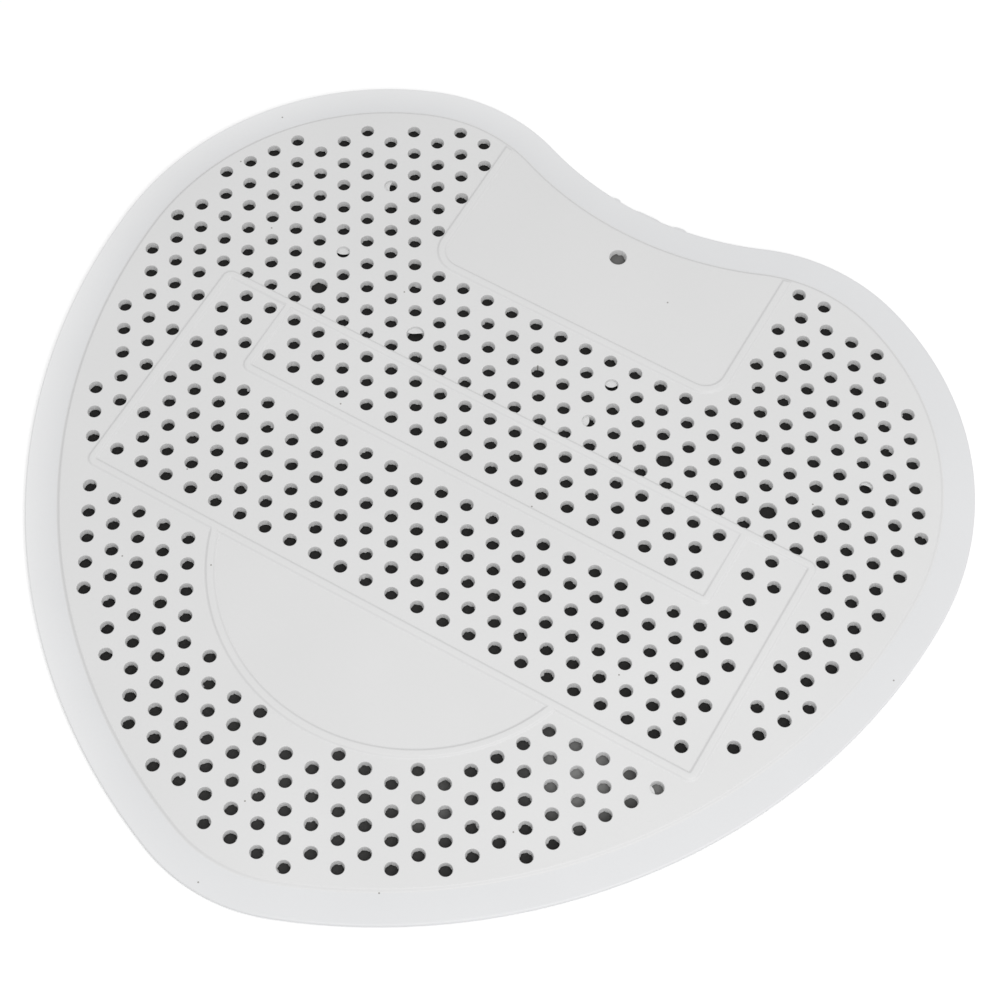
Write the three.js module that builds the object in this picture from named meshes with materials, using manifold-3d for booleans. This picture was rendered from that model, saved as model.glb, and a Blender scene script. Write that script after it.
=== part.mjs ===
// Urinal deodorizer screen: a heart-shaped perforated mat, moulded in one piece of soft white vinyl.
// Millimetres, +Z up. The flat underside lies on z = 0, +Y points to the notch, X runs across.
// The origin is the middle of the outline's bounding box, on the underside.

import * as THREE from 'three';
import { mergeGeometries, mergeVertices } from 'three/addons/utils/BufferGeometryUtils.js';
import Module from 'manifold-3d';

// Outline, half of it, as arcs that run into each other from the nose up to the notch.
const noseRadius = 38.7;
const noseSweep = 20.9;
const sideRadius = 130.8;
const sideSweep = 68.4;
const shoulderRadius = 65.2;
const shoulderSweep = 69.1;
const lobeRadius = 40.8;
const lobeSweep = 44.0;

// Section: a thin flange all round, a thicker plate inside it, and low ribs on the plate.
const flangeWidth = 6.85;
const flangeThickness = 1.2;
const plateThickness = 1.65;
const ribWidth = 1.9;
const ribHeight = 0.35;

// Rib centre lines. The frame and the window share the upper rib.
const frameWidth = 140.1;
const frameHeight = 53.0;
const frameFromNose = 67.4;
const windowWidth = 109.15;
const windowHeight = 17.85;
const tabWidth = 68.75;
const tabFromNotch = 33.4;
const tabCornerRadius = 5.2;
const bibRadius = 41.7;
const bibCentreAboveFrame = 13.5;

// Perforations: staggered rows, with a row on the frame's lower rib.
const columnPitch = 6;
const rowPitch = 5;
const patternShift = 2.15;
const holeDiameter = 2.8;
const holeCentreToPlateEdge = 2.84;
const holeCentreToRib = 1.95;
const holeCentreToBib = 2.2;
const largeHoleDiameter = 3.7;
const largeHoleRow = 12;
const largeHoleColumns = [-9, -5, 5, 9];
const unpiercedRow = 4;
const unpiercedColumn = -14;
const tabHoleDiameter = 3.7;
const tabHoleFromNotch = 12.95;

// How finely round shapes are cut into flats, and how far a cutter runs past what it cuts.
const facetError = 0.2;
const fieldFacetError = 0.001;
const holeSides = 4;
const largeHoleSides = 8;
const cutterOverrun = 1;
const weldDistance = 1e-4;

const wasm = await Module();
wasm.setup();

const radians = THREE.MathUtils.degToRad;

// Points of the right half from the nose to the notch, moved inwards by inset, with the nose at the origin.
// The notch arc closes the half: its sweep brings the heading back to straight across, on the axis.
function halfHeart(inset, error) {
  const arcs = [
    [noseRadius, noseSweep],
    [sideRadius, sideSweep],
    [shoulderRadius, shoulderSweep],
    [lobeRadius, lobeSweep],
  ];
  const points = [new THREE.Vector2(0, inset)];
  const centre = new THREE.Vector2(0, noseRadius);
  let heading = 0;
  let radius = noseRadius;
  for (const [nextRadius, sweep] of arcs) {
    centre.x += (radius - nextRadius) * Math.sin(heading);
    centre.y -= (radius - nextRadius) * Math.cos(heading);
    radius = nextRadius;
    addArc(points, centre, radius - inset, heading, sweep, error);
    heading += radians(sweep);
  }
  const notchSweep = heading - Math.PI;
  const notchRadius = (centre.x + radius * Math.sin(heading)) / Math.sin(notchSweep);
  centre.x += (radius + notchRadius) * Math.sin(heading);
  centre.y -= (radius + notchRadius) * Math.cos(heading);
  addArc(points, centre, -(notchRadius + inset), heading, -THREE.MathUtils.radToDeg(notchSweep), error);
  points[points.length - 1].x = 0;
  return points;
}

// How many flats an arc takes to stay within the given error.
function flats(radius, sweep, error) {
  const step = THREE.MathUtils.radToDeg(2 * Math.acos(1 - error / Math.abs(radius)));
  return Math.max(2, Math.round(Math.abs(sweep) / step));
}

// Adds the points of an arc after its start. A negative radius curves the other way.
function addArc(points, centre, radius, heading, sweep, error) {
  const count = flats(radius, sweep, error);
  for (let index = 1; index <= count; index += 1) {
    const angle = heading + radians(sweep * index / count);
    const x = centre.x + radius * Math.sin(angle);
    const y = centre.y - radius * Math.cos(angle);
    points.push(new THREE.Vector2(x, y));
  }
}

// The whole heart, counter-clockwise, in the part's own frame.
function heart(inset, error) {
  const right = halfHeart(inset, error);
  const left = right.slice(1, -1).reverse().map((point) => new THREE.Vector2(-point.x, point.y));
  const all = [...right, ...left];
  all.forEach((point) => { point.y += noseY; });
  return all;
}

const half = halfHeart(0, facetError);
const length = Math.max(...half.map((point) => point.y));
const noseY = -length / 2;
const notchY = half[half.length - 1].y + noseY;

const frameBottomY = noseY + frameFromNose;
const frameTopY = frameBottomY + frameHeight;
const windowBottomY = frameTopY - windowHeight;
const tabBottomY = notchY - tabFromNotch;
const bibCentreY = frameBottomY + bibCentreAboveFrame;
const ribTop = plateThickness + ribHeight;

// A closed mesh as a solid, and a solid as a mesh.
function solidOf(geometry) {
  geometry.deleteAttribute('normal');
  geometry.deleteAttribute('uv');
  const merged = mergeVertices(geometry, weldDistance);
  const mesh = new wasm.Mesh({
    numProp: 3,
    vertProperties: Float32Array.from(merged.attributes.position.array),
    triVerts: Uint32Array.from(merged.index.array),
  });
  return new wasm.Manifold(mesh);
}

function geometryOf(solid) {
  const mesh = solid.getMesh();
  const geometry = new THREE.BufferGeometry();
  geometry.setAttribute('position', new THREE.BufferAttribute(mesh.vertProperties, mesh.numProp));
  geometry.setIndex(new THREE.BufferAttribute(mesh.triVerts, 1));
  geometry.computeVertexNormals();
  return geometry;
}

// A flat shape raised between two levels.
function slab(points, bottom, top) {
  const shape = new THREE.Shape(points);
  const geometry = new THREE.ExtrudeGeometry(shape, { depth: top - bottom, bevelEnabled: false });
  geometry.translate(0, 0, bottom);
  return solidOf(geometry);
}

// A rounded run of corner points around a centre, from one angle to another.
function corner(x, y, radius, from, to) {
  const count = flats(radius, to - from, facetError);
  const points = [];
  for (let index = 0; index <= count; index += 1) {
    const angle = radians(from + (to - from) * index / count);
    points.push(new THREE.Vector2(x + radius * Math.cos(angle), y + radius * Math.sin(angle)));
  }
  return points;
}

// The frame: a rectangle with sharp inner corners and outer corners as round as the rib is wide.
function frameRib(bottom, top) {
  const halfX = (frameWidth - ribWidth) / 2;
  const innerTopY = frameTopY - ribWidth / 2;
  const innerBottomY = frameBottomY + ribWidth / 2;
  const outer = [
    ...corner(halfX, innerTopY, ribWidth, 0, 90),
    ...corner(-halfX, innerTopY, ribWidth, 90, 180),
    ...corner(-halfX, innerBottomY, ribWidth, 180, 270),
    ...corner(halfX, innerBottomY, ribWidth, 270, 360),
  ];
  const inner = [
    new THREE.Vector2(-halfX, innerBottomY),
    new THREE.Vector2(halfX, innerBottomY),
    new THREE.Vector2(halfX, innerTopY),
    new THREE.Vector2(-halfX, innerTopY),
  ];
  return slab(outer, bottom, top).subtract(slab(inner, bottom - cutterOverrun, top + cutterOverrun));
}

// A rib shaped like a U, open upwards. The inner corner radius is zero where the corners are sharp.
function cupRib(width, bottomY, topY, innerRadius, bottom, top) {
  const halfX = (width - ribWidth) / 2 - innerRadius;
  const cornerY = bottomY + ribWidth / 2 + innerRadius;
  const outerRadius = innerRadius + ribWidth;
  const outerX = halfX + outerRadius;
  const innerX = halfX + innerRadius;
  const inner = innerRadius > 0
    ? [...corner(halfX, cornerY, innerRadius, 360, 270), ...corner(-halfX, cornerY, innerRadius, 270, 180)]
    : [new THREE.Vector2(innerX, cornerY), new THREE.Vector2(-innerX, cornerY)];
  const points = [
    new THREE.Vector2(-outerX, topY),
    ...corner(-halfX, cornerY, outerRadius, 180, 270),
    ...corner(halfX, cornerY, outerRadius, 270, 360),
    new THREE.Vector2(outerX, topY),
    new THREE.Vector2(innerX, topY),
    ...inner,
    new THREE.Vector2(-innerX, topY),
  ];
  return slab(points, bottom, top);
}

// The half-round rib that hangs from the frame's lower rib.
function bibRib(bottom, top) {
  const dip = THREE.MathUtils.radToDeg(Math.asin(bibCentreAboveFrame / bibRadius));
  const sweep = 180 - 2 * dip;
  const count = flats(bibRadius, sweep, facetError);
  const centre = new THREE.Vector2(0, bibCentreY);
  const outer = [];
  const inner = [];
  for (let index = 0; index <= count; index += 1) {
    const angle = radians(180 + dip + sweep * index / count);
    const direction = new THREE.Vector2(Math.cos(angle), Math.sin(angle));
    outer.push(centre.clone().addScaledVector(direction, bibRadius + ribWidth / 2));
    inner.unshift(centre.clone().addScaledVector(direction, bibRadius - ribWidth / 2));
  }
  return slab([...outer, ...inner], bottom, top);
}

// All ribs between two levels. They end at the plate's edge.
function ribs(bottom, top) {
  return frameRib(bottom, top)
    .add(cupRib(windowWidth, windowBottomY, frameTopY, 0, bottom, top))
    .add(cupRib(tabWidth, tabBottomY, -noseY, tabCornerRadius - ribWidth / 2, bottom, top))
    .add(bibRib(bottom, top))
    .intersect(slab(heart(flangeWidth, facetError), bottom - cutterOverrun, top + cutterOverrun));
}

// Distance from a point to the nearest straight rib's centre line.
function distanceToRibs(x, y) {
  const side = Math.abs(x);
  const lines = [
    [0, frameTopY, frameWidth / 2, frameTopY],
    [0, frameBottomY, frameWidth / 2, frameBottomY],
    [frameWidth / 2, frameBottomY, frameWidth / 2, frameTopY],
    [0, windowBottomY, windowWidth / 2, windowBottomY],
    [windowWidth / 2, windowBottomY, windowWidth / 2, frameTopY],
    [0, tabBottomY, tabWidth / 2, tabBottomY],
    [tabWidth / 2, tabBottomY, tabWidth / 2, -noseY],
  ];
  const point = new THREE.Vector3(side, y, 0);
  const nearest = new THREE.Vector3();
  const distances = lines.map(([x1, y1, x2, y2]) => {
    const line = new THREE.Line3(new THREE.Vector3(x1, y1, 0), new THREE.Vector3(x2, y2, 0));
    line.closestPointToPoint(point, true, nearest);
    return nearest.distanceTo(point);
  });
  return Math.min(...distances);
}

// True for the two panels that the mould leaves whole: the tab, and the half-round bib with its rib.
function onBlankPanel(x, y) {
  const onTab = Math.abs(x) < tabWidth / 2 && y > tabBottomY;
  const onBib = y < frameBottomY && Math.hypot(x, y - bibCentreY) < bibRadius + holeCentreToBib;
  return onTab || onBib;
}

function isInside(polygon, x, y) {
  let inside = false;
  polygon.forEach((a, index) => {
    const b = polygon[(index + 1) % polygon.length];
    const crosses = (a.y > y) !== (b.y > y);
    if (crosses && x < a.x + (b.x - a.x) * (y - a.y) / (b.y - a.y)) {
      inside = !inside;
    }
  });
  return inside;
}

// Centres of the perforations, row by row. Every other row is staggered by half a pitch.
function holePlaces() {
  const field = heart(flangeWidth + holeCentreToPlateEdge, fieldFacetError);
  const reach = Math.ceil(length / Math.min(rowPitch, columnPitch));
  const places = [];
  for (let row = -reach; row <= reach; row += 1) {
    for (let column = -reach; column <= reach; column += 1) {
      const stagger = Math.abs(row % 2) * columnPitch / 2;
      const x = patternShift + column * columnPitch - stagger;
      const y = frameBottomY + row * rowPitch;
      const unpierced = row === unpiercedRow && column === unpiercedColumn;
      const clear = distanceToRibs(x, y) >= holeCentreToRib && !onBlankPanel(x, y);
      if (!unpierced && clear && isInside(field, x, y)) {
        places.push({ x, y, large: row === largeHoleRow && largeHoleColumns.includes(column) });
      }
    }
  }
  return places;
}

// A many-sided pin with the same section area as the round hole it makes.
function holePin(x, y, diameter, sides) {
  const radius = diameter / 2 * Math.sqrt(2 * Math.PI / (sides * Math.sin(2 * Math.PI / sides)));
  const height = plateThickness + 2 * cutterOverrun;
  const pin = new THREE.CylinderGeometry(radius, radius, height, sides);
  pin.rotateY(Math.PI / sides);
  pin.rotateX(Math.PI / 2);
  pin.translate(x, y, plateThickness / 2);
  return pin;
}

function holePins() {
  const pins = holePlaces().map(({ x, y, large }) => (
    large ? holePin(x, y, largeHoleDiameter, largeHoleSides) : holePin(x, y, holeDiameter, holeSides)
  ));
  pins.push(holePin(0, notchY - tabHoleFromNotch, tabHoleDiameter, largeHoleSides));
  return solidOf(mergeGeometries(pins));
}

// The mat: flange and plate, pierced, with the ribs moulded on. A rib fills the part of a hole that it meets.
function screenMat() {
  const flange = slab(heart(0, facetError), 0, flangeThickness);
  const plate = slab(heart(flangeWidth, facetError), flangeThickness / 2, plateThickness);
  const pins = holePins().subtract(ribs(-2 * cutterOverrun, plateThickness + 2 * cutterOverrun));
  const mat = flange.add(plate).subtract(pins).add(ribs(flangeThickness, ribTop));
  return geometryOf(mat);
}

const vinyl = new THREE.MeshStandardMaterial({ color: '#e6e6e4', roughness: 0.5, metalness: 0 });

const mesh = new THREE.Mesh(screenMat(), vinyl);
mesh.name = 'screen_mat';

const part = new THREE.Group();
part.add(mesh);

export default part;
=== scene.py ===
import math
import random

import bmesh
import bpy
from mathutils import Matrix, Vector, kdtree, noise


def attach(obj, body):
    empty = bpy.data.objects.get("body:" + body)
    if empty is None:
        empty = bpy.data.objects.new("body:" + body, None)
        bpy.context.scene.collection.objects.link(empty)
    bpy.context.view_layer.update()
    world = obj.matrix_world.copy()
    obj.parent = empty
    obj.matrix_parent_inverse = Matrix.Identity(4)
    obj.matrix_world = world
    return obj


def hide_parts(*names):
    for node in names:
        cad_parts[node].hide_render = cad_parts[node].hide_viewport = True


bl_info = {
    "name": "Urinal Deodorizer Screen",
    "version": (1, 0, 0),
    "blender": (4, 5, 0),
    "location": "3D View > Sidebar > Screen",
    "description": "Builds a heart-shaped perforated vinyl mat on its CAD frame",
    "category": "Add Mesh",
}

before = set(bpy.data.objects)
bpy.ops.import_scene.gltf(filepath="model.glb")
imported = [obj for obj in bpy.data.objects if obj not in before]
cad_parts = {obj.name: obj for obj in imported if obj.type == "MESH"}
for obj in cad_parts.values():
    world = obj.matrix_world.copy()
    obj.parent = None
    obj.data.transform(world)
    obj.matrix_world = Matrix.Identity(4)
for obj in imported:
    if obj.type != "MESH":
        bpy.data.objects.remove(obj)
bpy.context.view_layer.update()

MM = 0.001
WELD = 0.002 * MM


def length(name, millimetres, description):
    """A size that a user sets, given here in millimetres."""
    return bpy.props.FloatProperty(
        name=name,
        description=description,
        default=millimetres * MM,
        unit="LENGTH",
        precision=5,
    )


def angle(name, degrees, description):
    """An angle that a user sets, given here in degrees."""
    return bpy.props.FloatProperty(
        name=name,
        description=description,
        default=math.radians(degrees),
        subtype="ANGLE",
    )


def colour(name, value, description):
    """A colour that a user sets, in linear light."""
    return bpy.props.FloatVectorProperty(
        name=name,
        description=description,
        default=value,
        size=3,
        min=0.0,
        max=1.0,
        subtype="COLOR",
    )


def factor(name, value, description):
    """A plain number that a user sets."""
    return bpy.props.FloatProperty(name=name, description=description, default=value)


def count(name, value, description):
    """A whole number that a user sets."""
    return bpy.props.IntProperty(name=name, description=description, default=value)


class HeartSizes(bpy.types.PropertyGroup):
    """Half of the outline, as arcs that run into each other from the nose to the notch."""

    nose_radius: length("Nose radius", 38.7, "Radius at the nose")
    nose_sweep: angle("Nose sweep", 20.9, "How far the nose arc turns")
    side_radius: length("Side radius", 130.8, "Radius of the long side")
    side_sweep: angle("Side sweep", 68.4, "How far the side arc turns")
    shoulder_radius: length("Shoulder radius", 65.2, "Radius of the shoulder")
    shoulder_sweep: angle("Shoulder sweep", 69.1, "How far the shoulder arc turns")
    lobe_radius: length("Lobe radius", 40.8, "Radius of the lobe beside the notch")
    lobe_sweep: angle("Lobe sweep", 44.0, "How far the lobe arc turns")
    facet_length: length("Facet length", 1.6, "Length of one flat on the outline")


class SectionSizes(bpy.types.PropertyGroup):
    """The mat's thicknesses and the roundings of its edges."""

    flange_width: length("Flange width", 6.85, "Width of the thin flange")
    flange_thickness: length("Flange thickness", 1.2, "Thickness of the flange")
    flange_rounding: length("Flange rounding", 0.35, "Rounding of the flange's rim")
    plate_thickness: length("Plate thickness", 1.65, "Thickness of the plate")
    step_width: length("Step width", 0.85, "Width of the slope from flange to plate")
    rib_width: length("Rib width", 1.6, "Width of a raised rib halfway up its sides")
    rib_height: length("Rib height", 0.35, "How far the ribs stand above the plate")
    rib_slope: length("Rib slope", 0.7, "Width of a rib's sloping side")


class RibSizes(bpy.types.PropertyGroup):
    """Centre lines of the raised ribs."""

    frame_width: length("Frame width", 140.1, "Width of the large rectangle")
    frame_height: length("Frame height", 53.0, "Height of the large rectangle")
    frame_from_nose: length("Frame from nose", 67.4, "From the nose to the rectangle")
    window_width: length("Window width", 109.15, "Width of the small rectangle")
    window_height: length("Window height", 17.85, "Height of the small rectangle")
    tab_width: length("Tab width", 68.75, "Width of the blank panel at the notch")
    tab_from_notch: length("Tab from notch", 33.4, "From the notch to that panel's foot")
    tab_corner: length("Tab corner", 5.2, "Radius of that panel's corners")
    bib_radius: length("Bib radius", 41.7, "Radius of the half-round panel")
    bib_centre: length("Bib centre", 13.5, "Its centre above the frame's lower rib")
    turn_steps: count("Turn steps", 10, "Steps in a quarter turn of a rib")
    bib_steps: count("Bib steps", 60, "Steps round the half-round panel's rib")


class HoleSizes(bpy.types.PropertyGroup):
    """Perforations in staggered rows, and the places left whole."""

    column_pitch: length("Column pitch", 6.0, "Distance between holes in a row")
    row_pitch: length("Row pitch", 5.0, "Distance between rows")
    pattern_shift: length("Pattern shift", 2.15, "Sideways shift of the pattern")
    diameter: length("Diameter", 2.8, "Diameter of a hole")
    rim: length("Rim", 0.19, "Rounding of a hole's upper rim")
    to_edge: length("Centre to edge", 2.84, "Least distance of a centre to the plate's edge")
    to_rib: length("Centre to rib", 1.95, "Least distance of a centre to a straight rib")
    to_bib: length("Centre to bib", 2.2, "Least distance of a centre to the bib's rib")
    large_diameter: length("Large diameter", 3.7, "Diameter of the four locating holes")
    large_row: count("Large row", 12, "Row of the four locating holes")
    unpierced_row: count("Unpierced row", 4, "Row of the place the mould left whole")
    unpierced_column: count("Unpierced column", -14, "Column of that place")
    tab_diameter: length("Tab hole diameter", 3.7, "Diameter of the hole in the tab")
    tab_from_notch: length("Tab hole from notch", 12.95, "From the notch to that hole")
    taper: length("Taper", 0.05, "How much narrower a hole's foot is, on the radius")
    sides: count("Sides", 20, "Flats round a hole")
    rib_overlap: length("Rib overlap", 0.12, "How far a rib's foot reaches over a hole")


class FlashSizes(bpy.types.PropertyGroup):
    """Traces of moulding: ragged lower rims, films left in holes, and gate stubs."""

    ragged: factor("Ragged", 0.2, "How much the lower rims vary, as part of the radius")
    burr_share: factor("Burr share", 0.45, "Share of the holes with a burr")
    burr_size: factor("Burr size", 0.3, "How far a burr reaches in, as part of the radius")
    film_thickness: length("Film thickness", 0.1, "Thickness of a film left in a hole")
    film_level: length("Film level", 0.7, "Height of a film above the underside")
    stub_height: length("Stub height", 0.9, "Height of a trimmed gate stub")
    seed: count("Seed", 7, "Start of the random choices")


class VinylLook(bpy.types.PropertyGroup):
    """The soft white vinyl."""

    plate: colour("Plate", (0.785, 0.785, 0.785), "Colour of the plate and the ribs")
    flange: colour("Flange", (0.79, 0.795, 0.805), "Colour of the thin flange")
    # Painted light: the flange is painted lighter towards its rim.
    rim: colour("Rim", (0.89, 0.893, 0.898), "Colour of the flange's rim, where light comes through")
    speck: colour("Speck", (0.3, 0.29, 0.27), "Colour of the tiny dark specks")
    roughness: factor("Roughness", 0.52, "Roughness of the moulded skin")
    # Painted shade: the ribs' sides, the step and the hole walls are painted darker.
    slope_shade: factor("Slope shade", 0.15, "How much darker the ribs' sides and hole walls are")
    # Painted shade: the flange's steep faces are painted darker.
    rim_shade: factor("Rim shade", 0.05, "How much darker the flange's side is")
    mottle: factor("Mottle", 0.014, "How much the colour varies")
    mottle_scale: factor("Mottle scale", 26.0, "Patches of mottling in a metre")
    grain_scale: factor("Grain scale", 1400.0, "Grains in a metre")
    grain_strength: factor("Grain strength", 0.25, "How strongly the grain shows")
    grain_depth: length("Grain depth", 0.05, "Depth of the grain")
    ior: factor("Refraction", 1.48, "Index of refraction, which sets the gloss")


class StageLook(bpy.types.PropertyGroup):
    """Floor, dark card of painted shade under the mat, lamp and camera."""

    floor: colour("Floor", (0.8, 0.8, 0.8), "Colour of the floor")
    floor_glow: factor("Floor glow", 0.35, "Light added where the floor is seen directly")
    floor_reach: length("Floor reach", 3000.0, "From the middle of the floor to its sides")
    # Painted shade: the card's dark colour stands in for the shade under the mat, seen through the
    # holes.
    shade_card: colour("Card", (0.02, 0.0195, 0.019), "Colour of the card that shows in the holes")
    # Painted light: paler patches on the card, seen through some holes.
    painted_sheen: colour("Painted sheen", (0.28, 0.28, 0.275), "Colour of its paler patches")
    shade_card_inset: length("Card inset", 3.5, "How far the card stays inside the outline")
    floor_drop: length("Floor drop", 0.3, "How far the floor lies under the mat")
    lens: factor("Lens", 93.15, "Focal length for a sensor 36 mm wide")
    azimuth: angle("Azimuth", 28.09, "Direction of the camera, from the nose side")
    elevation: angle("Elevation", 61.98, "Height of the camera")
    distance: length("Distance", 532.18, "From the camera to the point it looks at")
    target_x: length("Target X", 7.088, "Point that the camera looks at")
    target_y: length("Target Y", 8.87, "Point that the camera looks at")
    roll: angle("Roll", 1.925, "Turn of the camera about its own axis")
    world: factor("World", 0.7, "Strength of the light from all round")
    key: factor("Key", 1.15, "Power of the soft lamp, in watts")
    key_size: length("Key size", 300.0, "Width of the soft lamp")
    key_x: length("Key X", 340.0, "Place of the soft lamp, which points at the origin")
    key_y: length("Key Y", -220.0, "Place of the soft lamp")
    key_z: length("Key Z", 460.0, "Place of the soft lamp")


# Places of the two vinyls among a mesh's materials, and the mark that the flange's vinyl reads for
# its painted light.
PLATE = 0
FLANGE = 1
RIM = "rim"

# Steps in a rounded edge, a soft slope, a hole's rim and a film's outline.
ROUND_STEPS = 4
SLOPE_STEPS = 6
RIM_STEPS = 3
FILM_STEPS = 16

# How far a cutting body reaches past what it cuts, how far it keeps from a level face,
# and how much higher than a rib the body stands that trims it.
OVERCUT = 0.5 * MM
LIP = 0.02 * MM
OVER_RIBS = 1.1

# A hole's wall: ragged below the first height, even from the second one up, where it has
# kept this share of its taper. A pin's vertices nearer its axis than its core stay put.
RAGGED_TOP = 0.5 * MM
CLEAN_FOOT = 0.7 * MM
CLEAN_SHARE = 0.4
PIN_CORE = 0.5 * MM

# Waves round a ragged rim, its mean inward share, how far apart its noise is picked,
# the smallest burr as a share of the largest, and half a burr's width in radians.
WAVES = 2.4
RAGGED_MEAN = 0.15
NOISE_SPREAD = 50
LEAST_BURR = 0.4
BURR_TURN = 0.4

# Columns of the four locating holes.
LARGE_COLUMNS = (-9, -5, 5, 9)

# Row, column, direction of the closed side in degrees, share of the width closed, bend of the edge.
FILMS = (
    (14, -9, 116.0, 0.38, -0.8),
    (18, -9, 205.0, 0.56, 0.8),
    (12, -5, 120.0, 0.3, -2.5),
    (12, 2, 190.0, 0.36, -0.8),
    (15, 12, 95.0, 0.36, 0.8),
    (14, 2, 120.0, 0.3, -0.6),
    (-1, 11, 230.0, 0.2, -1.2),
)
FILM_OVERLAP = 1.02
FILM_ROUNDING = 0.3
SAG_SCALE = 900.0

# Distance from the middle of the notch, length and depth of what stands proud, in millimetres.
GATE_STUBS = ((-7.4, 2.0, 0.42), (0.6, 6.8, 0.3), (8.1, 3.4, 0.42))

# A stub's whole depth in parts of what stands proud, its cuts, its thinnest end as a share,
# and the size and depth of the roughness on its face.
STUB_DEPTH = 3
STUB_CUTS = 5
THIN_END = 0.15
STUB_NOISE = 1600.0
STUB_ROUGHNESS = 0.06 * MM

# Painted light on the card, seen through the holes as paler patches: place and reach in millimetres,
# and share.
PAINTED_LIGHT_PATCHES = (
    (51.0, -36.0, 15.0, 0.9),
    (66.0, -31.0, 8.0, 0.8),
    (29.0, -56.0, 9.0, 0.35),
    (0.5, 72.6, 7.0, 0.6),
    (10.0, -60.0, 60.0, 0.12),
)

# Painted slope shade: full where a normal's height is at most the first value. Down in the holes
# it fades, from the top height to the foot height, to the least share.
STEEP = 0.6
SHADE_FOOT = 0.5 * MM
SHADE_TOP = 1.5 * MM
SHADE_LEAST = 0.3

# Painted light on the flange's rim: full left of one place, and the least share right of the other.
RIM_RIGHT = 30 * MM
RIM_LEFT = -80 * MM
RIM_LEAST = 0.1

# Specks: cells in a metre, a speck's full and outer radius in cells, share of empty cells.
SPECK_CELLS = 62.0
SPECK_CORE = 0.007
SPECK_EDGE = 0.014
SPECK_FREE = 0.72

# How much the roughness varies with the mottling.
ROUGHNESS_SPREAD = 0.12


def half_runs(heart):
    """Radii and sweeps of the right half, with the notch arc last and turned the other way."""
    runs = [
        (heart.nose_radius, heart.nose_sweep),
        (heart.side_radius, heart.side_sweep),
        (heart.shoulder_radius, heart.shoulder_sweep),
        (heart.lobe_radius, heart.lobe_sweep),
    ]
    x, y, heading, radius = 0.0, heart.nose_radius, 0.0, heart.nose_radius
    placed = []
    for next_radius, sweep in runs:
        x += (radius - next_radius) * math.sin(heading)
        y -= (radius - next_radius) * math.cos(heading)
        radius = next_radius
        placed.append((Vector((x, y, 0.0)), radius, sweep))
        heading += sweep
    notch_sweep = heading - math.pi
    notch_radius = (x + radius * math.sin(heading)) / math.sin(notch_sweep)
    x += (radius + notch_radius) * math.sin(heading)
    y -= (radius + notch_radius) * math.cos(heading)
    placed.append((Vector((x, y, 0.0)), notch_radius, -notch_sweep))
    return placed


def spin_round(bm, geometry, centre, sweep, steps):
    """Spins geometry about an upright axis and returns its far end."""
    return bmesh.ops.spin(
        bm,
        geom=geometry,
        cent=centre,
        axis=(0.0, 0.0, 1.0),
        angle=sweep,
        steps=steps,
        use_merge=False,
        use_duplicate=False,
    )["geom_last"]


def trace_half(bm, heart, inset):
    """Spins a vertex along the arcs and returns the vertices from the nose to the notch."""
    last = bm.verts.new((0.0, inset, 0.0))
    trail = [last]
    for centre, radius, sweep in half_runs(heart):
        steps = max(2, round(radius * abs(sweep) / heart.facet_length))
        before = set(bm.verts)
        last = spin_round(bm, [last], centre, sweep, steps)[0]
        trail += [vert for vert in bm.verts if vert not in before]
    last.co.x = 0.0
    return trail


def heart_measures(heart):
    """Heights of the nose and the notch, with the outline's box centred on the origin."""
    bm = bmesh.new()
    trail = trace_half(bm, heart, 0.0)
    tallest = max(vert.co.y for vert in trail)
    notch = trail[-1].co.y
    bm.free()
    return -tallest / 2, notch - tallest / 2


def heart_face(bm, heart, inset, height):
    """The whole outline as one face, moved inwards by inset, facing up."""
    nose, _ = heart_measures(heart)
    trace_half(bm, heart, inset)
    bmesh.ops.mirror(
        bm,
        geom=bm.verts[:] + bm.edges[:],
        matrix=Matrix.Identity(4),
        merge_dist=WELD,
        axis="X",
    )
    bmesh.ops.translate(bm, verts=bm.verts[:], vec=(0.0, nose, height))
    face = bmesh.ops.contextual_create(bm, geom=bm.edges[:])["faces"][0]
    face.normal_update()
    if face.normal.z < 0:
        bmesh.ops.reverse_faces(bm, faces=[face])
    return face


def raise_face(bm, face, height):
    """Extrudes a face straight up and returns the moved face, with the old one kept below."""
    extruded = bmesh.ops.extrude_face_region(
        bm, geom=[face], use_keep_orig=True
    )["geom"]
    top = next(item for item in extruded if isinstance(item, bmesh.types.BMFace))
    bmesh.ops.translate(bm, verts=top.verts[:], vec=(0.0, 0.0, height))
    bmesh.ops.recalc_face_normals(bm, faces=bm.faces[:])
    return top


def step_in(bm, face, steps):
    """Insets a face again and again, each time by a width and a rise along its normal."""
    for width, rise in steps:
        bmesh.ops.inset_region(
            bm,
            faces=[face],
            thickness=width,
            depth=rise,
            use_even_offset=True,
            use_boundary=True,
        )


def s_curve(width, rise, steps):
    """Insets of a soft slope, level at its foot and at its top."""
    shares = [(1 - math.cos(math.pi * step / steps)) / 2 for step in range(steps + 1)]
    return [(width / steps, rise * (b - a)) for a, b in zip(shares, shares[1:])]


def rounding(width, rise, steps):
    """Insets that turn from steep to level over a quarter of an ellipse."""
    turns = [math.pi / 2 * step / steps for step in range(steps + 1)]
    return [
        (
            width * (math.cos(first) - math.cos(second)),
            rise * (math.sin(second) - math.sin(first)),
        )
        for first, second in zip(turns, turns[1:])
    ]


def as_mesh(name, bm):
    """Stores a mesh and frees its working copy."""
    mesh = bpy.data.meshes.new(name)
    bm.to_mesh(mesh)
    bm.free()
    return mesh


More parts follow.
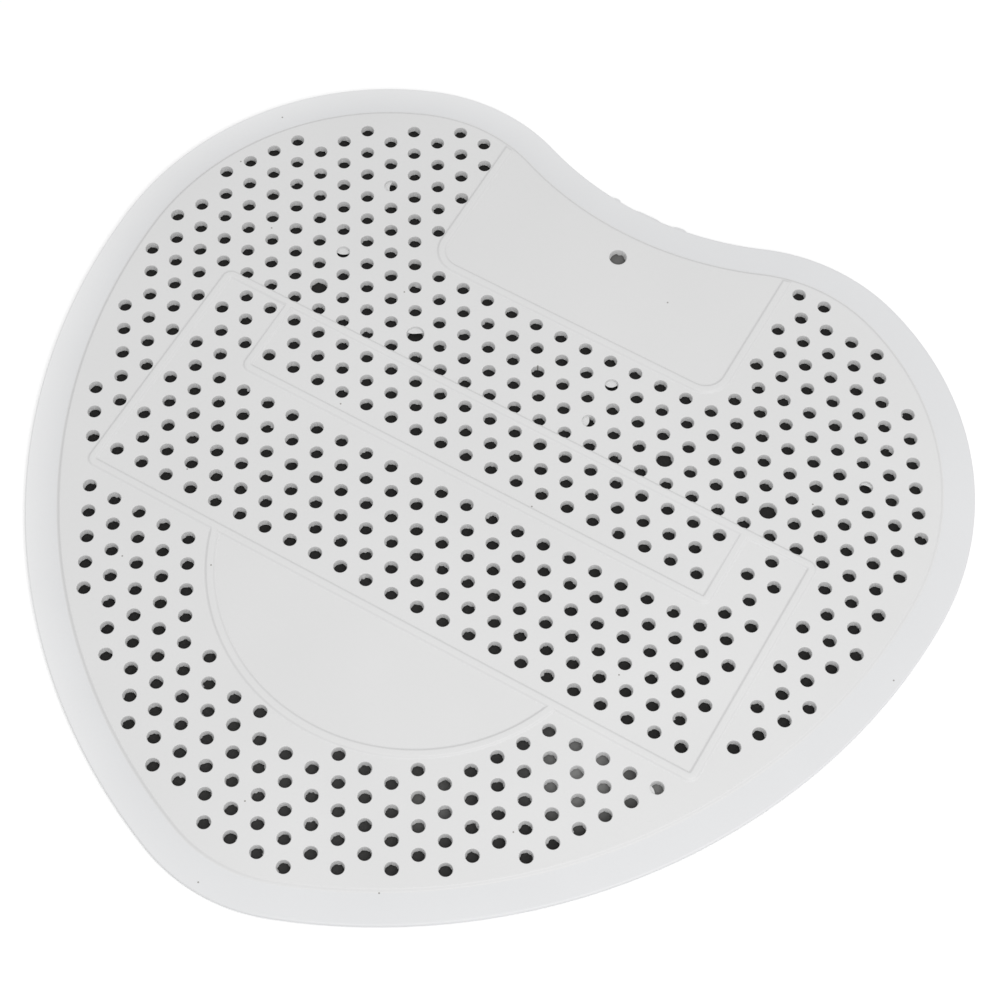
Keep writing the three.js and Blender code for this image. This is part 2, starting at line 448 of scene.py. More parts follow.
def new_object(name, bm, materials=None, closed=True):
    """Merges a mesh's doubles, points its faces outwards and links its object."""
    bmesh.ops.remove_doubles(bm, verts=bm.verts[:], dist=WELD)
    bmesh.ops.recalc_face_normals(bm, faces=bm.faces[:])
    if closed and not all(edge.is_manifold for edge in bm.edges):
        raise RuntimeError(f"{name} isn't closed")
    mesh = as_mesh(name, bm)
    for material in VINYLS if materials is None else materials:
        mesh.materials.append(material)
    item = bpy.data.objects.new(name, mesh)
    bpy.context.scene.collection.objects.link(item)
    return item


def combine(item, other, operation):
    """Joins, cuts or keeps the common part of two closed objects, and removes the second."""
    modifier = item.modifiers.new("combine", "BOOLEAN")
    modifier.operation = operation
    modifier.solver = "MANIFOLD"
    modifier.object = other
    apply_modifiers(item)
    mesh = other.data
    bpy.data.objects.remove(other)
    bpy.data.meshes.remove(mesh)


def apply_modifiers(item):
    """Replaces an object's mesh by the one its modifiers make."""
    graph = bpy.context.evaluated_depsgraph_get()
    made = bpy.data.meshes.new_from_object(item.evaluated_get(graph), depsgraph=graph)
    if not made.polygons:
        raise RuntimeError(f"{item.name} came out empty")
    old = item.data
    item.modifiers.clear()
    item.data = made
    bpy.data.meshes.remove(old)


def body_blank(heart, section):
    """Flange and plate as one closed body, with a rounded rim and a soft step between them."""
    bm = bmesh.new()
    round_size = section.flange_rounding
    side = section.flange_thickness - 1.5 * round_size
    face = heart_face(bm, heart, 0.0, round_size / 2)
    top = raise_face(bm, face, side)
    bottom = next(item for item in bm.faces if item.normal.z < -0.9)
    step_in(bm, bottom, rounding(round_size / 2, round_size / 2, ROUND_STEPS // 2))
    step_in(bm, top, rounding(round_size, round_size, ROUND_STEPS))
    step_in(bm, top, [(section.flange_width - round_size - section.step_width / 2, 0.0)])
    for face in bm.faces:
        face.material_index = FLANGE
    rise = section.plate_thickness - section.flange_thickness
    top.material_index = PLATE
    step_in(bm, top, s_curve(section.step_width, rise, SLOPE_STEPS))
    for face in bm.faces:
        if face.calc_center_median().z > section.flange_thickness + WELD:
            face.material_index = PLATE
    return new_object("blank", bm)


def rib_foot(section):
    """Half the width of a rib where its sides run out into the plate."""
    return (section.rib_width + section.rib_slope) / 2


def rib_profile(bm, section, start, along):
    """Closed cross-section of a rib at a point, across the direction that it runs in."""
    offset, height = rib_foot(section), section.plate_thickness
    side = [(offset, section.plate_thickness / 2), (offset, height)]
    for width, rise in s_curve(section.rib_slope, section.rib_height, SLOPE_STEPS):
        offset -= width
        height += rise
        side.append((offset, height))
    outline = side + [(-offset, height) for offset, height in reversed(side)]
    across = along.cross(Vector((0.0, 0.0, 1.0)))
    verts = [
        bm.verts.new(start + across * offset + Vector((0.0, 0.0, height)))
        for offset, height in outline
    ]
    return [
        bm.edges.new((first, second))
        for first, second in zip(verts, verts[1:] + verts[:1])
    ]


def run_straight(bm, edges, vector):
    """Extrudes a cross-section along a straight line and returns its far end."""
    extruded = bmesh.ops.extrude_edge_only(bm, edges=edges)["geom"]
    verts = [item for item in extruded if isinstance(item, bmesh.types.BMVert)]
    bmesh.ops.translate(bm, verts=verts, vec=vector)
    return [item for item in extruded if isinstance(item, bmesh.types.BMEdge)
            and all(vert in verts for vert in item.verts)]


def run_turn(bm, edges, centre, sweep, steps):
    """Spins a cross-section about a centre and returns its far end."""
    spun = spin_round(bm, edges, centre, sweep, steps)
    return [item for item in spun if isinstance(item, bmesh.types.BMEdge)]


def cap(bm, edges):
    """Closes an open end."""
    bmesh.ops.contextual_create(bm, geom=edges)


def frame_rib(sizes, section, places):
    """The large rectangle, sharp inside and round outside its corners."""
    bm = bmesh.new()
    foot = rib_foot(section)
    half_x = sizes.frame_width / 2 - foot
    half_y = sizes.frame_height / 2 - foot
    middle = Vector((0.0, (places.frame_top + places.frame_bottom) / 2, 0.0))
    start = middle + Vector((half_x + foot, -half_y, 0.0))
    edges = rib_profile(bm, section, start, Vector((0, 1, 0)))
    corners = [(half_x, half_y), (-half_x, half_y), (-half_x, -half_y), (half_x, -half_y)]
    legs = [(0, 2 * half_y), (-2 * half_x, 0), (0, -2 * half_y), (2 * half_x, 0)]
    for corner, leg in zip(corners, legs):
        edges = run_straight(bm, edges, Vector((*leg, 0.0)))
        centre = middle + Vector((*corner, 0.0))
        edges = run_turn(bm, edges, centre, math.pi / 2, sizes.turn_steps)
    return new_object("frame_rib", bm)


def cup_rib(sizes, section, width, bottom, top, radius):
    """A rib shaped like a U, open upwards, with the given radius on its centre line."""
    bm = bmesh.new()
    half_x = width / 2
    start = Vector((-half_x, top, 0.0))
    edges = rib_profile(bm, section, start, Vector((0, -1, 0)))
    cap(bm, edges)
    edges = run_straight(bm, edges, Vector((0.0, bottom + radius - top, 0.0)))
    centre = Vector((-half_x + radius, bottom + radius, 0.0))
    edges = run_turn(bm, edges, centre, math.pi / 2, sizes.turn_steps)
    edges = run_straight(bm, edges, Vector((width - 2 * radius, 0.0, 0.0)))
    centre = Vector((half_x - radius, bottom + radius, 0.0))
    edges = run_turn(bm, edges, centre, math.pi / 2, sizes.turn_steps)
    edges = run_straight(bm, edges, Vector((0.0, top - bottom - radius, 0.0)))
    cap(bm, edges)
    return new_object("cup_rib", bm)


def bib_rib(sizes, section, places):
    """The half-round rib that hangs from the frame's lower rib."""
    bm = bmesh.new()
    dip = math.asin(sizes.bib_centre / sizes.bib_radius)
    sweep = math.pi - 2 * dip
    centre = Vector((0.0, places.frame_bottom + sizes.bib_centre, 0.0))
    turn = math.pi + dip
    outwards = Vector((math.cos(turn), math.sin(turn), 0.0))
    along = Vector((-outwards.y, outwards.x, 0.0))
    start = centre + outwards * sizes.bib_radius
    edges = rib_profile(bm, section, start, along)
    cap(bm, edges)
    edges = run_turn(bm, edges, centre, sweep, sizes.bib_steps)
    cap(bm, edges)
    return new_object("bib_rib", bm)


def plate_trim(heart, section):
    """A body over the plate alone, which gives the ribs that run off it sloping ends."""
    bm = bmesh.new()
    face = heart_face(bm, heart, section.flange_width + section.step_width / 2, 0.0)
    top = raise_face(bm, face, section.plate_thickness)
    step_in(bm, top, s_curve(section.rib_slope, OVER_RIBS * section.rib_height, ROUND_STEPS))
    return new_object("trim", bm)


class Places:
    """Heights of the main features, worked out from the sizes."""

    def __init__(self, scene):
        heart, ribs, holes = scene.screen_heart, scene.screen_ribs, scene.screen_holes
        self.nose, self.notch = heart_measures(heart)
        self.frame_bottom = self.nose + ribs.frame_from_nose
        self.frame_top = self.frame_bottom + ribs.frame_height
        self.window_bottom = self.frame_top - ribs.window_height
        self.tab_bottom = self.notch - ribs.tab_from_notch
        self.bib_centre = self.frame_bottom + ribs.bib_centre
        self.tab_hole = self.notch - holes.tab_from_notch


def distance_to_segment(x, y, x1, y1, x2, y2):
    """Distance from a point to a straight line between two points."""
    run = Vector((x2 - x1, y2 - y1))
    offset = Vector((x - x1, y - y1))
    share = min(1.0, max(0.0, offset.dot(run) / run.length_squared))
    return (offset - run * share).length


def clear_of_ribs(x, y, ribs, holes, places):
    """True where a hole's centre keeps its distance to every straight rib."""
    side = abs(x)
    frame_x, window_x, tab_x = ribs.frame_width / 2, ribs.window_width / 2, ribs.tab_width / 2
    lines = [
        (0.0, places.frame_top, frame_x, places.frame_top),
        (0.0, places.frame_bottom, frame_x, places.frame_bottom),
        (frame_x, places.frame_bottom, frame_x, places.frame_top),
        (0.0, places.window_bottom, window_x, places.window_bottom),
        (window_x, places.window_bottom, window_x, places.frame_top),
        (0.0, places.tab_bottom, tab_x, places.tab_bottom),
        (tab_x, places.tab_bottom, tab_x, -places.nose),
    ]
    nearest = min(distance_to_segment(side, y, *line) for line in lines)
    return nearest >= holes.to_rib


def on_blank_panel(x, y, ribs, holes, places):
    """True on the tab, and on the half-round bib with its rib."""
    on_tab = abs(x) < ribs.tab_width / 2 and y > places.tab_bottom
    reach = ribs.bib_radius + holes.to_bib
    on_bib = y < places.frame_bottom and math.hypot(x, y - places.bib_centre) < reach
    return on_tab or on_bib


def is_inside(outline, x, y):
    """True where a point lies inside an outline."""
    inside = False
    for (x1, y1), (x2, y2) in zip(outline, outline[1:] + outline[:1]):
        if (y1 > y) != (y2 > y) and x < x1 + (x2 - x1) * (y - y1) / (y2 - y1):
            inside = not inside
    return inside


def hole_places(scene):
    """Row, column, centre and diameter of every perforation."""
    ribs, holes = scene.screen_ribs, scene.screen_holes
    places = Places(scene)
    margin = scene.screen_section.flange_width + holes.to_edge
    bm = bmesh.new()
    face = heart_face(bm, scene.screen_heart, margin, 0.0)
    outline = [(vert.co.x, vert.co.y) for vert in face.verts]
    bm.free()
    reach = math.ceil(-2 * places.nose / holes.row_pitch)
    found = []
    for row in range(-reach, reach + 1):
        for column in range(-reach, reach + 1):
            stagger = row % 2 * holes.column_pitch / 2
            x = holes.pattern_shift + column * holes.column_pitch - stagger
            y = places.frame_bottom + row * holes.row_pitch
            if (row, column) == (holes.unpierced_row, holes.unpierced_column):
                continue
            if not is_inside(outline, x, y):
                continue
            if on_blank_panel(x, y, ribs, holes, places):
                continue
            if not clear_of_ribs(x, y, ribs, holes, places):
                continue
            large = row == holes.large_row and column in LARGE_COLUMNS
            diameter = holes.large_diameter if large else holes.diameter
            found.append((row, column, x, y, diameter))
    found.append((None, None, 0.0, places.tab_hole, holes.tab_diameter))
    return found


def pin_mesh(holes, section):
    """Spins the section of one cutting pin, which flares at the rim that it rounds."""
    top = section.plate_thickness
    radius = holes.diameter / 2
    foot = radius - holes.taper
    profile = [(0.0, -OVERCUT), (foot, -OVERCUT), (foot, RAGGED_TOP / 2)]
    profile.append((foot + CLEAN_SHARE * holes.taper, CLEAN_FOOT))
    for step in range(RIM_STEPS + 1):
        turn = math.pi / 2 * step / RIM_STEPS
        out, down = 1 - math.cos(turn), 1 - math.sin(turn)
        profile.append((radius + holes.rim * out, top - holes.rim * down))
    neck = radius - holes.rib_overlap
    profile += [(radius + holes.rim, top + LIP), (neck, top + 2 * LIP)]
    profile += [(neck, top + OVERCUT), (0.0, top + OVERCUT)]
    bm = bmesh.new()
    verts = [bm.verts.new((offset, 0.0, height)) for offset, height in profile]
    edges = [bm.edges.new(pair) for pair in zip(verts, verts[1:])]
    bmesh.ops.spin(
        bm,
        geom=verts + edges,
        cent=(0.0, 0.0, 0.0),
        axis=(0.0, 0.0, 1.0),
        angle=math.tau,
        steps=holes.sides,
        use_merge=True,
    )
    bmesh.ops.remove_doubles(bm, verts=bm.verts[:], dist=WELD)
    return as_mesh("pin", bm)


def rough_rim(verts, centre, flash, rng):
    """Makes the lower part of one hole ragged, with a burr in some."""
    burr = rng.random() < flash.burr_share
    burr_turn = rng.uniform(0.0, math.tau)
    burr_size = flash.burr_size * rng.uniform(LEAST_BURR, 1.0)
    seed = Vector((rng.uniform(0, NOISE_SPREAD), rng.uniform(0, NOISE_SPREAD), 0.0))
    for vert in verts:
        offset = Vector((vert.co.x - centre.x, vert.co.y - centre.y))
        if vert.co.z > RAGGED_TOP or offset.length < PIN_CORE:
            continue
        turn = math.atan2(offset.y, offset.x)
        place = Vector((math.cos(turn), math.sin(turn), 0.0)) * WAVES + seed
        share = flash.ragged * (RAGGED_MEAN + (1 - RAGGED_MEAN) * noise.noise(place))
        if burr:
            gap = abs((turn - burr_turn + math.pi) % math.tau - math.pi)
            share += burr_size * max(0.0, 1.0 - gap / BURR_TURN)
        vert.co.x = centre.x + offset.x * (1.0 - share)
        vert.co.y = centre.y + offset.y * (1.0 - share)


def cutting_pins(scene):
    """One mesh of all cutting pins."""
    holes, section, flash = scene.screen_holes, scene.screen_section, scene.screen_flash
    rng = random.Random(flash.seed)
    pin = pin_mesh(holes, section)
    placed = bpy.data.meshes.new("placed")
    bm = bmesh.new()
    for _, _, x, y, diameter in hole_places(scene):
        single = bmesh.new()
        single.from_mesh(pin)
        grow = diameter / holes.diameter
        bmesh.ops.scale(single, verts=single.verts[:], vec=(grow, grow, 1.0))
        bmesh.ops.translate(single, verts=single.verts[:], vec=(x, y, 0.0))
        rough_rim(single.verts, Vector((x, y)), flash, rng)
        single.to_mesh(placed)
        single.free()
        bm.from_mesh(placed)
    bpy.data.meshes.remove(pin)
    bpy.data.meshes.remove(placed)
    return new_object("pins", bm)


def mark_rim(item, heart, width):
    """Marks how near each vertex is to the outline: one on it, none past the flange."""
    bm = bmesh.new()
    heart_face(bm, heart, 0.0, 0.0)
    tree = kdtree.KDTree(len(bm.verts))
    for index, vert in enumerate(bm.verts):
        tree.insert(vert.co, index)
    bm.free()
    tree.balance()
    mark = item.data.attributes.new(RIM, "FLOAT", "POINT")
    for vert, value in zip(item.data.vertices, mark.data):
        away = tree.find((vert.co.x, vert.co.y, 0.0))[2]
        value.value = max(0.0, 1.0 - away / width)


def shade_soft(item, limit):
    """Smooth shading with sharp edges past an angle, and level faces kept level."""
    mesh = item.data
    for polygon in mesh.polygons:
        polygon.use_smooth = True
    mesh.set_sharp_from_angle(angle=math.radians(limit))
    modifier = item.modifiers.new("level", "WEIGHTED_NORMAL")
    modifier.mode = "FACE_AREA"
    modifier.weight = 90
    modifier.keep_sharp = True
    apply_modifiers(item)


def feed(tree, entry, value):
    """Links a socket to an input, or gives the input a plain number or colour."""
    if isinstance(value, bpy.types.NodeSocket):
        tree.links.new(value, entry)
    else:
        entry.default_value = value


def maths(tree, operation, *values, clamp=False):
    """A maths node with sockets or plain numbers."""
    node = tree.nodes.new("ShaderNodeMath")
    node.operation = operation
    node.use_clamp = clamp
    for entry, value in zip(node.inputs, values):
        feed(tree, entry, value)
    return node.outputs["Value"]


def fade(tree, value, start, end, low, high, kind="LINEAR"):
    """Turns the range from start to end into the range from low to high."""
    node = tree.nodes.new("ShaderNodeMapRange")
    node.interpolation_type = kind
    ends = {"From Min": start, "From Max": end, "To Min": low, "To Max": high}
    for name, number in ends.items():
        node.inputs[name].default_value = number
    feed(tree, node.inputs["Value"], value)
    return node.outputs["Result"]


def blend(tree, share, first, second):
    """Mixes two colours, each a socket or a plain colour."""
    node = tree.nodes.new("ShaderNodeMix")
    node.data_type = "RGBA"
    for name, value in {"Factor": share, "A": first, "B": second}.items():
        feed(tree, node.inputs[name], value)
    return node.outputs["Result"]


def scaled(tree, colour_in, share):
    """A colour times a share."""
    node = tree.nodes.new("ShaderNodeVectorMath")
    node.operation = "SCALE"
    feed(tree, node.inputs[0], colour_in)
    feed(tree, node.inputs["Scale"], share)
    return node.outputs["Vector"]


def along_axis(tree, vector, axis):
    """One coordinate of a vector."""
    node = tree.nodes.new("ShaderNodeSeparateXYZ")
    feed(tree, node.inputs["Vector"], vector)
    return node.outputs[axis]


def cloudy(tree, place, scale, detail, roughness):
    """Soft noise."""
    node = tree.nodes.new("ShaderNodeTexNoise")
    values = {"Vector": place, "Scale": scale, "Detail": detail, "Roughness": roughness}
    for name, value in values.items():
        feed(tree, node.inputs[name], value)
    return node.outputs["Fac"]


def painted_slope_shade(tree, shade):
    """What steep faces keep of their colour under painted shade: the sides of ribs and steps, and
    hole walls.
    """
    coordinates = tree.nodes.new("ShaderNodeTexCoord")
    facing_up = maths(tree, "ABSOLUTE", along_axis(tree, coordinates.outputs["Normal"], "Z"))
    steep = fade(tree, facing_up, STEEP, 1.0, -1.0, 0.0)
    height = along_axis(tree, coordinates.outputs["Object"], "Z")
    near_top = fade(tree, height, SHADE_FOOT, SHADE_TOP, SHADE_LEAST, 1.0)
    return maths(tree, "MULTIPLY_ADD", maths(tree, "MULTIPLY", steep, near_top), shade, 1.0)


def speck_mask(tree, place):
    """One inside the specks: some cells of a flat pattern of cells hold one each."""
    cells = tree.nodes.new("ShaderNodeTexVoronoi")
    cells.voronoi_dimensions = "2D"
    cells.inputs["Scale"].default_value = SPECK_CELLS
    feed(tree, cells.inputs["Vector"], place)
    inside = fade(tree, cells.outputs["Distance"], SPECK_CORE, SPECK_EDGE, 1.0, 0.0)
    draw = tree.nodes.new("ShaderNodeSeparateColor")
    feed(tree, draw.inputs["Color"], cells.outputs["Color"])
    rare = maths(tree, "GREATER_THAN", draw.outputs["Red"], SPECK_FREE)
    return maths(tree, "MULTIPLY", inside, rare)


SKIN_INPUTS = {
    "Colour": "NodeSocketColor",
    "Speck colour": "NodeSocketColor",
    "Mottle size": "NodeSocketFloat",
    "Mottle": "NodeSocketFloat",
    "Grain size": "NodeSocketFloat",
    "Roughness": "NodeSocketFloat",
    "Slope shade": "NodeSocketFloat",
}
SKIN_OUTPUTS = {
    "Colour": "NodeSocketColor",
    "Roughness": "NodeSocketFloat",
    "Height": "NodeSocketFloat",
}


def skin_group():
    """Shared skin of the moulded vinyl: mottling, painted shade on slopes, rare specks and fine
    grain.
    """
    group = bpy.data.node_groups.new("Moulded skin", "ShaderNodeTree")
    for name, kind in SKIN_INPUTS.items():
        group.interface.new_socket(name, in_out="INPUT", socket_type=kind)
    for name, kind in SKIN_OUTPUTS.items():
        group.interface.new_socket(name, in_out="OUTPUT", socket_type=kind)
    entry = group.nodes.new("NodeGroupInput").outputs
    leave = group.nodes.new("NodeGroupOutput").inputs
    place = group.nodes.new("ShaderNodeTexCoord").outputs["Object"]

    clouds = cloudy(group, place, entry["Mottle size"], 3.0, 0.5)
    mottle = fade(group, clouds, 0.3, 0.7, -1.0, 1.0)
    amount = maths(group, "MULTIPLY_ADD", mottle, entry["Mottle"], 1.0)
    tint = scaled(group, entry["Colour"], amount)
    # Painted shade on the ribs' sides, the step and the hole walls.
    tint = scaled(group, tint, painted_slope_shade(group, entry["Slope shade"]))
    speckled = blend(group, speck_mask(group, place), tint, entry["Speck colour"])
    feed(group, leave["Colour"], speckled)

    rough = maths(group, "MULTIPLY_ADD", mottle, ROUGHNESS_SPREAD, entry["Roughness"])
    feed(group, leave["Roughness"], rough)
    feed(group, leave["Height"], cloudy(group, place, entry["Grain size"], 4.0, 0.6))
    return group


def new_material(name):
    """A new material, its nodes' tree and its surface shader."""
    material = bpy.data.materials.new(name)
    material.use_nodes = True
    tree = material.node_tree
    return material, tree, tree.nodes["Principled BSDF"]


def vinyl_material(name, colour_value, shade, look, group):
    """Soft white vinyl of one colour, and its skin's node."""
    material, tree, shader = new_material(name)
    skin = tree.nodes.new("ShaderNodeGroup")
    skin.node_tree = group
    values = {
        "Colour": (*colour_value, 1.0),
        "Speck colour": (*look.speck, 1.0),
        "Mottle size": look.mottle_scale,
        "Mottle": look.mottle,
        "Grain size": look.grain_scale,
        "Roughness": look.roughness,
        "Slope shade": shade,
    }
    for entry, value in values.items():
        skin.inputs[entry].default_value = value
    bump = tree.nodes.new("ShaderNodeBump")
    bump.inputs["Strength"].default_value = look.grain_strength
    bump.inputs["Distance"].default_value = look.grain_depth
    feed(tree, bump.inputs["Height"], skin.outputs["Height"])
    shader.inputs["IOR"].default_value = look.ior
    feed(tree, shader.inputs["Base Color"], skin.outputs["Colour"])
    feed(tree, shader.inputs["Roughness"], skin.outputs["Roughness"])
    feed(tree, shader.inputs["Normal"], bump.outputs["Normal"])
    return material, skin


def rim_painted_light(tree):
    """How much painted light the flange gets: more towards its rim, and more on the left."""
    towards_rim = tree.nodes.new("ShaderNodeAttribute")
    towards_rim.attribute_name = RIM
    place = tree.nodes.new("ShaderNodeTexCoord").outputs["Object"]
    across = along_axis(tree, place, "X")
    side = fade(tree, across, RIM_RIGHT, RIM_LEFT, RIM_LEAST, 1.0, "SMOOTHSTEP")
    return maths(tree, "MULTIPLY", towards_rim.outputs["Fac"], side)


VINYLS = []


def make_vinyls(scene):
    """The plate's and the flange's vinyl, in the order of their slots."""
    look = scene.screen_vinyl
    group = skin_group()
    plate, _ = vinyl_material("White vinyl", look.plate, look.slope_shade, look, group)
    flange, skin = vinyl_material(
        "Thin white vinyl", look.flange, look.rim_shade, look, group
    )
    tree = flange.node_tree
    # Painted light: the flange turns lighter towards its rim and on the left.
    tint = blend(tree, rim_painted_light(tree), (*look.flange, 1.0), (*look.rim, 1.0))
    feed(tree, skin.inputs["Colour"], tint)
    VINYLS[:] = [plate, flange]


def film_mesh(flash, radius, turn, cover, hollow):
    """A film across one side of a hole, with a curved edge towards the open side."""
    bm = bmesh.new()
    half = math.acos(1.0 - 2.0 * cover)
    start = bm.verts.new(
        (radius * math.cos(turn + half), radius * math.sin(turn + half), 0.0)
    )
    end = spin_round(bm, [start], (0.0, 0.0, 0.0), -2 * half, FILM_STEPS)
    chord = 2 * radius * math.sin(half)
    bend = chord * hollow
    side = math.copysign(1.0, hollow)
    middle = radius * math.cos(half) - side * math.sqrt(bend * bend - chord * chord / 4)
    centre = (middle * math.cos(turn), middle * math.sin(turn), 0.0)
    back = side * 2 * math.asin(chord / 2 / abs(bend))
    spin_round(bm, end, centre, back, FILM_STEPS // 2)
    bmesh.ops.remove_doubles(bm, verts=bm.verts[:], dist=WELD)
    face = bmesh.ops.contextual_create(bm, geom=bm.edges[:])["faces"][0]
    upper = raise_face(bm, face, flash.film_thickness)
    bmesh.ops.bevel(
        bm,
        geom=upper.edges[:],
        offset=flash.film_thickness * FILM_ROUNDING,
        segments=2,
        profile=0.5,
        affect="EDGES",
        material=-1,
    )
    for vert in bm.verts:
        sag = noise.noise(vert.co * SAG_SCALE + Vector((turn, cover, 0.0)))
        vert.co.z += flash.film_level + sag * flash.film_thickness
    return as_mesh("film", bm)


def stub_mesh(height, across, stub_length, proud):
    """A trimmed stub that lies along X about the origin, with a rough face and thin ends."""
    bm = bmesh.new()
    bmesh.ops.create_cube(bm, size=1.0)
    sizes = (stub_length, STUB_DEPTH * proud, height)
    bmesh.ops.scale(bm, verts=bm.verts[:], vec=sizes)
    bmesh.ops.subdivide_edges(bm, edges=bm.edges[:], cuts=STUB_CUTS, use_grid_fill=True)
    bmesh.ops.smooth_vert(
        bm,
        verts=bm.verts[:],
        factor=0.5,
        use_axis_x=True,
        use_axis_y=True,
        use_axis_z=True,
    )
    for vert in bm.verts:
        taper = 1.0 - (2 * vert.co.x / stub_length) ** 4
        vert.co.y *= max(THIN_END, taper)
        wave = noise.noise(vert.co * STUB_NOISE + Vector((across / MM, 0, 0)))
        vert.co.y += wave * STUB_ROUGHNESS
    return as_mesh("stub", bm)


class SCREEN_OT_mat(bpy.types.Operator):
    """Builds the pierced mat with its flange and ribs"""

    bl_idname = "screen.mat"
    bl_label = "Screen mat"

    def execute(self, context):
        scene = context.scene
        heart, section = scene.screen_heart, scene.screen_section
        ribs = scene.screen_ribs
        places = Places(scene)
        make_vinyls(scene)
        item = body_blank(heart, section)
        tab = cup_rib(
            ribs, section, ribs.tab_width, places.tab_bottom, -places.nose, ribs.tab_corner
        )
        combine(tab, plate_trim(heart, section), "INTERSECT")
        combine(item, tab, "UNION")
        combine(item, frame_rib(ribs, section, places), "UNION")
        window = cup_rib(
            ribs,
            section,
            ribs.window_width,
            places.window_bottom,
            places.frame_top,
            rib_foot(section),
        )
        combine(item, window, "UNION")
        combine(item, bib_rib(ribs, section, places), "UNION")
        combine(item, cutting_pins(scene), "DIFFERENCE")
        item.name = "pierced_mat"
        item.data.name = "pierced_mat"
        shade_soft(item, 40.0)
        mark_rim(item, heart, section.flange_width)
        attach(item, "root")
        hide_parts("screen_mat")
        return {"FINISHED"}


class SCREEN_OT_films(bpy.types.Operator):
    """Builds the thin films that the moulding left in a few holes"""

    bl_idname = "screen.films"
    bl_label = "Films in holes"

    def execute(self, context):
        scene = context.scene
        flash = scene.screen_flash
        found = {(row, column): place for row, column, *place in hole_places(scene)}
        bm = bmesh.new()
        for row, column, turn, cover, hollow in FILMS:
            if (row, column) not in found:
                raise RuntimeError(f"no hole in row {row}, column {column}")
            x, y, diameter = found[row, column]
            radius = diameter / 2 * FILM_OVERLAP
            mesh = film_mesh(flash, radius, math.radians(turn), cover, hollow)
            mesh.transform(Matrix.Translation((x, y, 0.0)))
            bm.from_mesh(mesh)
            bpy.data.meshes.remove(mesh)
        item = new_object("hole_films", bm)
        shade_soft(item, 50)
        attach(item, "root")
        return {"FINISHED"}


class SCREEN_OT_gate_stubs(bpy.types.Operator):
    """Builds the trimmed gate stubs on the edge of the notch"""

    bl_idname = "screen.gate_stubs"
    bl_label = "Gate stubs"

    def execute(self, context):
        scene = context.scene
        heart, section = scene.screen_heart, scene.screen_section
        notch = Places(scene).notch
        notch_radius = half_runs(heart)[-1][1]
        bm = bmesh.new()
        for sizes in GATE_STUBS:
            across, stub_length, proud = (value * MM for value in sizes)
            mesh = stub_mesh(scene.screen_flash.stub_height, across, stub_length, proud)
            rise = notch_radius - math.sqrt(notch_radius**2 - across**2)
            middle = (across, notch + rise - proud / 2, section.flange_thickness / 2)
            mesh.transform(
                Matrix.Translation(middle)
                @ Matrix.Rotation(math.asin(across / notch_radius), 4, "Z")
            )
            bm.from_mesh(mesh)
            bpy.data.meshes.remove(mesh)
        item = new_object("gate_stubs", bm)
        for polygon in item.data.polygons:
            polygon.material_index = FLANGE
        shade_soft(item, 60)
        mark_rim(item, heart, section.flange_width)
        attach(item, "root")
        return {"FINISHED"}


def seen_directly(tree):
    """One for rays from the camera, a reflection or a clear piece, none for other light."""
    path = tree.nodes.new("ShaderNodeLightPath").outputs
    total = path["Is Camera Ray"]
    for name in ("Is Glossy Ray", "Is Transmission Ray"):
        total = maths(tree, "ADD", total, path[name], clamp=True)
    return total


